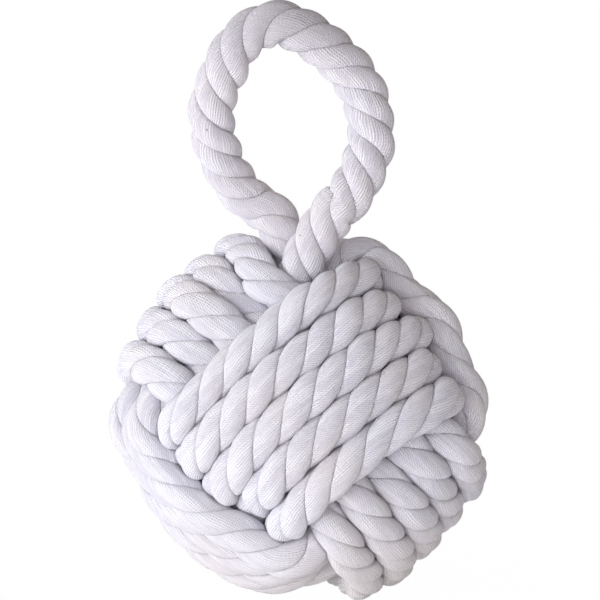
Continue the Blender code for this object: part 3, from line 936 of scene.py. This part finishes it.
    def settled(self, handle: HandleRoute) -> Array:
        """Draws the loose rope tight, as the knot is worked up.

        Args:
            handle: the handle, whose legs the rope goes round.

        Returns:
            The rope's centre line in the doorstop's axes.
        """
        up = self.axes.T @ np.array([0.0, 0.0, 1.0])
        legs, leg_widths = handle.core(self.centre, self.axes)
        leg_room = 0.5 * (self.pressed + leg_widths)
        path = self.loose()
        count = len(path)
        apart = int(math.ceil(self.own_run * self.pitch / self.bead))
        least = self.cavity + 0.5 * self.pressed
        for turn in range(self.rounds):
            if turn % self.renewed == 0:
                squared = ((path[:, None, :] - path[None, :, :]) ** 2).sum(-1)
                one, other = np.nonzero(squared < (self.pitch + self.watched) ** 2)
                keep = other - one > apart
                one, other = one[keep], other[keep]
                along = tangents(path)
                likeness = np.abs((along[one] * along[other]).sum(1))
                level = eased((likeness - self.crossing) / self.likeness_span)
                wanted = self.pressed + (self.pitch - self.pressed) * level
                heights = np.linalg.norm(path, axis=1)
                same_layer = np.abs(heights[one] - heights[other]) < self.reach
                beside = (likeness > self.side_by_side) & same_layer
                gaps = np.linalg.norm(path[:, None, :] - legs[None, :, :], axis=2)
                by_leg, leg = np.nonzero(gaps < leg_room[None, :] + self.watched)
                room = leg_room[leg] * min(1.0, self.first_leg + 2.0 * turn / self.rounds)
            progress = turn / self.rounds
            pull = self.pull * next((share for until, share in self.slackening if progress < until), 0.0)
            stiff = self.stiffness if progress < self.stiff_until else self.last_stiffness
            nestle = self.nestling if progress < self.nestling_until else 0.0
            beat = self.beating if progress < self.beating_until else 0.0
            path = path + pull * halfway(path)
            path = path - stiff * halfway(halfway(path))
            along = tangents(path)
            for _ in range(self.pushes):
                between = path[one] - path[other]
                distance = np.linalg.norm(between, axis=1)
                excess = wanted - distance
                near = beside & (distance < self.pitch + self.reach)
                weight = np.where(excess > 0.0, 1.0, np.where(near, nestle, 0.0))
                used = weight > 0.0
                push = between[used] / distance[used, None] * (0.5 * excess * weight)[used, None]
                move = self.shared(count, (one[used], other[used]), (push, -push))
                move -= (move * along).sum(1)[:, None] * along
                path = path + self.push_share * move
                between = path[by_leg] - legs[leg]
                distance = np.linalg.norm(between, axis=1)
                used = distance < room
                push = between[used] / distance[used, None] * (room - distance)[used, None]
                path = path + self.shared(count, (by_leg[used],), (push,))
                height = self.rounded_height(path)
                path = path * np.maximum(1.0, least / height)[:, None]
                height = self.rounded_height(path)
                path = path * (1.0 - beat * np.clip(height - self.limit, 0.0, None) / height)[:, None]
                sunk = 0.5 * self.pitch - self.settled_height - path @ up
                path = path + np.clip(sunk, 0.0, None)[:, None] * up
        return path @ self.axes.T + self.centre


@dataclass
class BallKnot:
    """The ball: one rope of three strands on the settled route."""

    route: KnotRoute
    handle: HandleRoute
    shift: Array
    diameter: float = 16.5 * MM
    lay_length: float = 43.0 * MM
    section: StrandSection = StrandSection(bulge=0.73, sides=22)
    flattening: tuple[float, float] = (1.0, 0.90)
    squareness: float = 2.6
    unevenness: float = 0.35 * MM  # how far the turns stray from their even places
    whipped: float = 10.4 * MM  # thickness in the whippings at both ends
    whipped_length: float = 10.5 * MM
    taper: float = 14.0 * MM
    stray: float = 40.0 * MM  # rope over which a turn strays and comes back
    stray_seed: int = 40
    even_step: float = 1.0 * MM  # at which the settled points' small bends are evened out
    evenings: int = 3
    step: float = 1.3 * MM
    end_points: int = 6  # over which the rope's direction at an end is taken
    floor: float = 0.2 * MM  # the height at which the lowest turns are pressed flat
    inward: tuple[Array, ...] = ()  # the way into the rope at each of its ends

    def build(self, finish: Material) -> list[Object]:
        """Makes the knot's rope.

        Args:
            finish: its material.

        Returns:
            One piece for each strand.
        """
        settled = self.route.settled(self.handle) + self.shift
        fine = resample(through_points(settled, per_span=6), self.even_step)
        for _ in range(self.evenings):
            fine = fine + 0.5 * halfway(fine)
        fine = resample(fine, self.step)
        spread = self.stray / self.step
        fine = fine + np.column_stack([
            wandering(len(fine), spread, self.unevenness, self.stray_seed + axis) for axis in range(3)])
        along = lengths_along(fine)
        full = eased((np.minimum(along, along[-1] - along) - self.whipped_length) / self.taper)
        radii = 0.5 * (self.whipped + (self.diameter - self.whipped) * full)
        ahead = self.end_points
        self.inward = (unit(fine[ahead] - fine[0]), unit(fine[-1 - ahead] - fine[-1]))
        rope = LaidRope("knot_rope", "cotton_rope", ("knot_rope",), fine, radii, self.lay_length,
                        self.section, seed=21, heart=self.route.centre + self.shift,
                        flattening=self.flattening, squareness=self.squareness, floor=self.floor)
        return rope.build(finish)


@dataclass
class Handle:
    """The handle: one thicker rope of three strands, hard laid."""

    route: HandleRoute
    shift: Array
    diameter: float = 18.9 * MM
    lay_length: float = 34.5 * MM
    squeezed_to: float = 0.120  # the height up to which the knot squeezes the legs
    swell: float = 16.0 * MM  # and the rise over which they get their full thickness
    step: float = 0.7 * MM
    section: StrandSection = StrandSection(bulge=0.71, sides=32)

    def build(self, finish: Material) -> list[Object]:
        """Makes the handle's rope.

        Args:
            finish: its material.

        Returns:
            One piece for each strand.
        """
        line = self.route.line(self.step)
        full = eased((line[:, 2] - self.squeezed_to) / self.swell)
        leg = self.route.leg_diameter
        radii = 0.5 * (leg + (self.diameter - leg) * full)
        rope = LaidRope("handle_rope", "cotton_rope", ("handle_rope",), line + self.shift, radii,
                        self.lay_length, self.section, seed=5, phase=0.6)
        return rope.build(finish)


@dataclass
class TwineWinding:
    """Cotton twine wound tight, turn beside turn, round one or two round things side by side."""

    name: str
    foot: Array  # the middle of its lower end
    along: Array  # the way its turns climb
    across: Array  # from one of the two round things to the other
    radius: float  # of what it is wound on
    spacing: float  # between the middles of the two, or none
    length: float
    twine: float = 1.4 * MM
    turn_room: float = 1.04  # twines from one turn to the next, at the least
    lap_points: int = 40

    def build(self, finish: Material) -> Object:
        """Makes the winding.

        Args:
            finish: its material.

        Returns:
            The piece.
        """
        ring = self.radius + 0.5 * self.twine
        half_turn = np.linspace(-0.5 * math.pi, 0.5 * math.pi, self.lap_points // 2)
        right = ring * np.column_stack([np.cos(half_turn), np.sin(half_turn)]) + (0.5 * self.spacing, 0.0)
        lap = np.vstack([right, -right])
        turns = max(2, int(self.length / (self.turn_room * self.twine)) - 1)
        flat = np.tile(lap, (turns, 1))
        climb = np.linspace(0.5 * self.twine, self.length - 0.5 * self.twine, len(flat))
        aside = np.cross(self.along, self.across)
        path = self.foot + flat[:, :1] * self.across + flat[:, 1:] * aside + climb[:, None] * self.along
        path = resample(path, 0.5 * self.twine)
        radii = np.full(len(path), 0.5 * self.twine)
        mesh = swept_strand(self.name, path, radii, np.zeros(len(path)), TwineSection())
        return new_piece(self.name + "_twine", mesh, finish, (self.name,))


@dataclass
class SandBag:
    """The calico bag in the hollow: gathered in pleats to its neck, and dented by the rope round it."""

    pleats: int = 26
    pleat_depth: float = 0.55 * MM
    dent_depth: float = 0.45 * MM
    dent_width: float = 15.0 * MM
    gathered_to: float = 0.45  # share of the height up to which the pleats run, from the neck at the foot
    gather_fade: float = 1.5  # how fast they fade on the way, as a power
    sway: float = 2.0  # radians of a pleat's own round, by which it sways on its way
    sway_rate: float = 9.0  # radians of sway over the whole height
    smooth_radius: float = 5.0 * MM  # of the middles of both ends, which stay smooth
    merge: float = 0.002 * MM
    fill: float = 0.85

    def build(self, finish: Material) -> Object:
        """Makes the bag from the solid's own form, drawn in where the cloth folds.

        Args:
            finish: its material.

        Returns:
            The piece.
        """
        low, high = solid_box("sand_bag")
        middle = 0.5 * (low + high)
        mesh = bpy.data.meshes.new("sand_bag")
        work = bmesh.new()
        work.from_mesh(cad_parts["sand_bag"].data)
        bmesh.ops.remove_doubles(work, verts=work.verts, dist=self.merge)
        bmesh.ops.subdivide_edges(work, edges=work.edges, cuts=3, use_grid_fill=True)
        bmesh.ops.recalc_face_normals(work, faces=work.faces)
        work.normal_update()
        for vert in work.verts:
            arm = Vector((vert.co.x - middle[0], vert.co.y - middle[1], 0.0))
            outward = vert.normal.dot(vert.co - Vector(middle))
            if outward <= 0.0 or arm.length < self.smooth_radius:
                continue
            share = (vert.co.z - low[2]) / (high[2] - low[2])
            gathered = max(0.0, 1.0 - share / self.gathered_to) ** self.gather_fade
            swayed = self.sway * math.sin(self.sway_rate * share)
            round_it = self.pleats * math.atan2(arm.y, arm.x) + swayed
            fold = 0.5 - 0.5 * math.cos(round_it)
            dent = 0.5 + 0.5 * noise.noise(vert.co / self.dent_width)
            vert.co -= vert.normal * (self.pleat_depth * gathered * fold
                                      + self.dent_depth * (1.0 - gathered) * dent)
        work.to_mesh(mesh)
        work.free()
        mesh.shade_smooth()
        bag = new_piece("sand_bag_cloth", mesh, finish, ("sand_bag",))
        return bag


def seen_share(tree: NodeTree, share: float) -> NodeSocket:
    """How much of the white a ray gets: the share where it is seen straight, mirrored or through glass.

    Args:
        tree: the nodes of the world or of the floor's material.
        share: the share of white.

    Returns:
        The output that holds it.
    """
    add = partial(add_node, tree)
    rays = add("LightPath")
    shown = add("Math", {0: rays.outputs["Is Camera Ray"], 1: rays.outputs["Is Glossy Ray"]},
                operation="MAXIMUM")
    shown = add("Math", {0: shown, 1: rays.outputs["Is Transmission Ray"]}, operation="MAXIMUM")
    return add("Math", {0: shown, 1: share}, operation="MULTIPLY").outputs[0]


@dataclass
class Studio:
    """A pale floor and backdrop, soft lamps, and the camera at the photograph's angle."""

    ball_centre: Vector
    elevation: float = math.radians(14.0)
    pixels_per_metre: float = 2480.0  # the photograph's scale
    picture: float = 600.0  # its width and height in pixels
    lens: float = 400.0  # in millimetres, as the sensor is
    sensor: float = 36.0
    centre_pixel: tuple[float, float] = (301.0, 416.2)  # of the ball
    floor_reach: float = 6.0  # from its middle to each edge
    floor_white: float = 0.985  # share of white that the floor shows

    def camera(self) -> None:
        """Sets the camera so that the ball's centre falls on its pixel at the photograph's scale."""
        toward = Vector((0.0, -math.cos(self.elevation), math.sin(self.elevation)))
        up = Vector((0.0, math.sin(self.elevation), math.cos(self.elevation)))
        right = Vector((1.0, 0.0, 0.0))
        half = 0.5 * self.picture
        aim = self.ball_centre + right * ((half - self.centre_pixel[0]) / self.pixels_per_metre)
        aim = aim + up * ((self.centre_pixel[1] - half) / self.pixels_per_metre)
        distance = self.picture / self.pixels_per_metre * self.lens / self.sensor
        data = bpy.data.cameras.new("camera")
        data.lens = self.lens
        data.sensor_width = self.sensor
        data.clip_end = 50.0
        camera = placed("camera", data)
        turned = Matrix((right, up, toward)).transposed().to_4x4()
        camera.matrix_world = Matrix.Translation(aim + toward * distance) @ turned
        bpy.context.scene.camera = camera

    def lamp(self, name: str, place: tuple[float, float, float], size: tuple[float, float], energy: float,
             code: str) -> None:
        """Adds a soft area lamp that looks at the ball.

        Args:
            name: the lamp's name.
            place: where it hangs.
            size: its width and height.
            energy: its power in watts.
            code: its colour.
        """
        data = bpy.data.lights.new(name, "AREA")
        data.shape = "RECTANGLE"
        data.size, data.size_y = size
        data.energy = energy
        data.color = linear(code)[:3]
        lamp = placed(name, data)
        lamp.location = place
        aim = self.ball_centre - Vector(place)
        lamp.rotation_euler = aim.to_track_quat("-Z", "Y").to_euler()

    def lamps(self) -> None:
        """A broad key from the left, a weaker fill from the front, and lamps behind and above."""
        self.lamp("key", (-1.5, -0.85, 0.35), (2.6, 0.8), 19.5, "#FAFCFF")
        self.lamp("fill", (-0.55, -1.6, 0.22), (1.8, 0.5), 8.5, "#FBFBFF")
        self.lamp("rear", (0.8, 1.5, 0.5), (1.6, 0.8), 11.5, "#FFF2E7")
        self.lamp("overhead", (0.0, 0.5, 1.7), (1.6, 1.6), 8.0, "#FFFFFF")
        world = bpy.data.worlds.new("studio")
        world.use_nodes = True
        tree = world.node_tree
        add = partial(add_node, tree)
        tree.nodes.clear()
        # The room is bright on the left and low down, as between two large windows, and dim above and right
        way = add("TexCoord").outputs["Generated"]
        lit_side = add("VectorMath", {0: way, 1: (-0.64, -0.36, -0.68)}, operation="DOT_PRODUCT")
        bright = add("MapRange", {"Value": lit_side.outputs["Value"], "From Min": -0.8, "To Min": 0.06,
                                  "To Max": 1.22})
        tint = add("Mix", {"Factor": bright, "A": linear("#FFECDD"), "B": linear("#F8F8FA")},
                   data_type="RGBA")
        sky = add("Background", {"Color": tint.outputs[2], "Strength": bright})
        seen = add("Background", {"Color": linear("#FFFFFF"), "Strength": 1.0})
        mix = add("MixShader", {0: seen_share(tree, 1.0), 1: sky, 2: seen})
        add("OutputWorld", {0: mix})
        bpy.context.scene.world = world

    def floor(self) -> None:
        """A large pale floor that keeps the doorstop's shadow and meets the white behind it."""
        mesh = bpy.data.meshes.new("floor")
        work = bmesh.new()
        bmesh.ops.create_grid(work, x_segments=1, y_segments=1, size=self.floor_reach)
        work.to_mesh(mesh)
        work.free()
        material, tree, shader = new_material("white_paper_sweep", {
            "Base Color": linear("#FBFBFC"), "Roughness": 0.9, "Emission Color": linear("#FCFCFF"),
            "Emission Strength": 0.16})
        white = add_node(tree, "Emission", {"Color": linear("#FFFFFF"), "Strength": 1.0})
        mix = add_node(tree, "MixShader", {0: seen_share(tree, self.floor_white), 1: shader, 2: white})
        tree.links.new(mix.outputs[0], tree.nodes["Material Output"].inputs[0])
        mesh.materials.append(material)
        placed("floor", mesh)

    def build(self) -> None:
        """Sets the stage."""
        self.camera()
        self.lamps()
        self.floor()
        bpy.context.scene.view_settings.view_transform = "Standard"


def bind_up(knot: BallKnot, handle: HandleRoute, twine: Material) -> None:
    """Winds the twine on: the handle's seizing, the whippings on the knot rope's ends, and the bag's tie.

    Args:
        knot: the ball, once it is built.
        handle: the handle's route.
        twine: the finish.
    """
    right, back, up = np.eye(3)
    low, high = solid_box("handle_seizing")
    foot = np.array([*(0.5 * (low + high))[:2], low[2]])
    clear = 0.1 * MM
    TwineWinding("handle_seizing", foot, up, back, radius=0.5 * handle.leg_diameter + clear,
                 spacing=handle.leg_diameter + handle.leg_gap, length=high[2] - low[2]).build(twine)
    length = 8.0 * MM
    for name, inward in zip(("rope_start_whipping", "rope_finish_whipping"), knot.inward):
        low, high = solid_box(name)
        slanted = up if abs(inward[2]) < 0.9 else right  # any direction that isn't near the rope's own
        across = unit(np.cross(inward, slanted))
        foot = 0.5 * (low + high) - 0.5 * length * inward
        TwineWinding(name, foot, inward, across, radius=5.45 * MM, spacing=0.0, length=length,
                     twine=1.2 * MM).build(twine)
    low, high = solid_box("bag_tie")
    past = 0.4 * MM  # how far the tie goes past its solid at both ends
    foot = np.array([*(0.5 * (low + high))[:2], low[2] - past])
    TwineWinding("bag_tie", foot, up, right, radius=4.7 * MM, spacing=0.0,
                 length=high[2] - low[2] + 2.0 * past, twine=0.9 * MM).build(twine)


def main() -> None:
    """Builds the doorstop piece by piece."""
    logging.basicConfig(level=logging.INFO, format="%(name)s: %(message)s")
    low, high = solid_box("sand_fill")
    shift = np.array([0.5 * (low[0] + high[0]), 0.5 * (low[1] + high[1]), 0.0])
    handle_route = HandleRoute()
    knot_route = KnotRoute()
    Studio(Vector(knot_route.centre + shift)).build()
    knot_cotton = LaidCotton("laid_cotton_knot", 4.1 * MM, yarns=30, yarn_turn=0.0265).build()
    handle_cotton = LaidCotton("laid_cotton_handle", 4.7 * MM, yarns=30, yarn_turn=0.0204, groove=1.05,
                               cotton="#EFEDF3", top_shade_from=0.212).build()
    knot = BallKnot(knot_route, handle_route, shift)
    knot.build(knot_cotton)
    Handle(handle_route, shift).build(handle_cotton)
    cloth = PlainCloth("calico", 0.8 * MM).build()
    sand = DrySand("dry_sand").build()
    twine = LaidCotton("cotton_twine", 0.7 * MM, yarns=6, yarn_turn=0.005, cotton="#D8CFBE",
                       hollow="#A99C84").build()
    SandBag().build(cloth)
    bind_up(knot, handle_route, twine)
    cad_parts["sand_fill"].material_slots[0].material = sand
    low, high = SOLIDS_BOX


if __name__ == "__main__":
    main()
